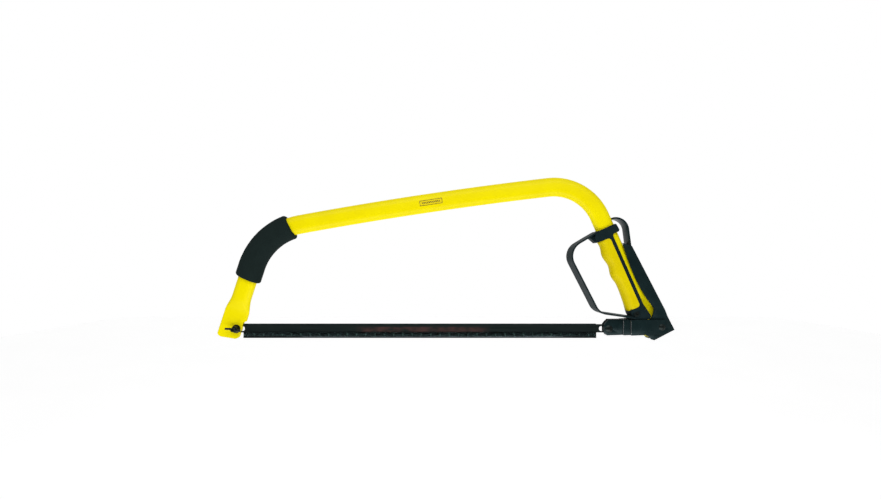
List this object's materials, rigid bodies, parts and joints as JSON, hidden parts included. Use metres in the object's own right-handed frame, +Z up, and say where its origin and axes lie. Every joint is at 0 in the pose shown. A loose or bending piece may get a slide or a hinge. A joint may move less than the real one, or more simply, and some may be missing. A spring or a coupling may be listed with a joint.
{
  "type": "bow saw",
  "caption": "Hand saw with a bent oval tube frame, a coarse blade in a clip-on tooth cover, a handle with knuckle guard and an over-centre lever that tensions the blade.",
  "frame": {"origin": "hanging point on the underside of the top tube, above the centre of mass", "axes": "+X along the blade from the front bolt to the rear handle, +Y across the saw's thickness, +Z up from the blade to the top tube"},
  "size_m": [0.7344, 0.0295, 0.2615],
  "materials": {
    "yellow_paint": "glossy yellow powder coat on steel tube",
    "black_lever": "black satin enamel on pressed steel",
    "yellow_grip": "satin yellow moulded plastic",
    "black_plastic": "black moulded plastic",
    "foam": "dark grey closed-cell foam",
    "zinc_steel": "dull zinc-plated steel",
    "black_steel": "blackened steel",
    "blade_steel": "dark blued spring steel",
    "smoky_plastic": "dark translucent plastic",
    "label": null
  },
  "bodies": {
    "frame": {"frame_tube": "yellow_paint", "foam_grip": "foam", "frame_label": "label", "knuckle_guard": "black_plastic", "grip_cover_near": "yellow_grip", "grip_cover_far": "yellow_grip", "guard_screw": "black_steel", "guard_nut": "black_steel", "pivot_bush": "zinc_steel", "pivot_spacers": "zinc_steel", "blade": "blade_steel", "front_bolt": "black_steel", "bolt_washer": "zinc_steel"},
    "lever": {"tension_lever": "black_lever", "pivot_rivet": "zinc_steel", "link_rivet": "black_steel", "link_spacer": "zinc_steel"},
    "link": {"link_plate_near": "black_lever", "link_plate_far": "black_lever", "blade_pin": "black_steel", "pin_spacers": "zinc_steel"},
    "tooth_cover": {"blade_cover": "smoky_plastic"},
    "washer": {"nut_washer": "black_steel"},
    "nut": {"wing_nut": "black_steel"}
  },
  "joints": [
    {"name": "lever_hinge", "type": "hinge", "parent": "frame", "child": "lever", "pos_m": [0.27401, 0, -0.19885], "axis": [0, 1, 0], "range_deg": [0, 75]},
    {"name": "link_hinge", "type": "hinge", "parent": "lever", "child": "link", "pos_m": [0.28891, 0, -0.19545], "axis": [0, 1, 0], "range_deg": [-62.3, 0]},
    {"name": "cover_slide", "type": "slide", "parent": "frame", "child": "tooth_cover", "axis": [0, 0, -1], "range_m": [0, 0.03]},
    {"name": "nut_travel", "type": "slide", "parent": "frame", "child": "washer", "axis": [0, -1, 0], "range_m": [0, 0.003]},
    {"name": "nut_turn", "type": "hinge", "parent": "washer", "child": "nut", "pos_m": [-0.39249, 0, -0.19935], "axis": [0, -1, 0], "range_deg": [0, 1080]}
  ],
  "couplings": [
    {"joint": "link_hinge", "follows": "lever_hinge", "ratio": -0.83},
    {"joint": "nut_turn", "follows": "nut_travel", "rad_per_m": 6283}
  ]
}
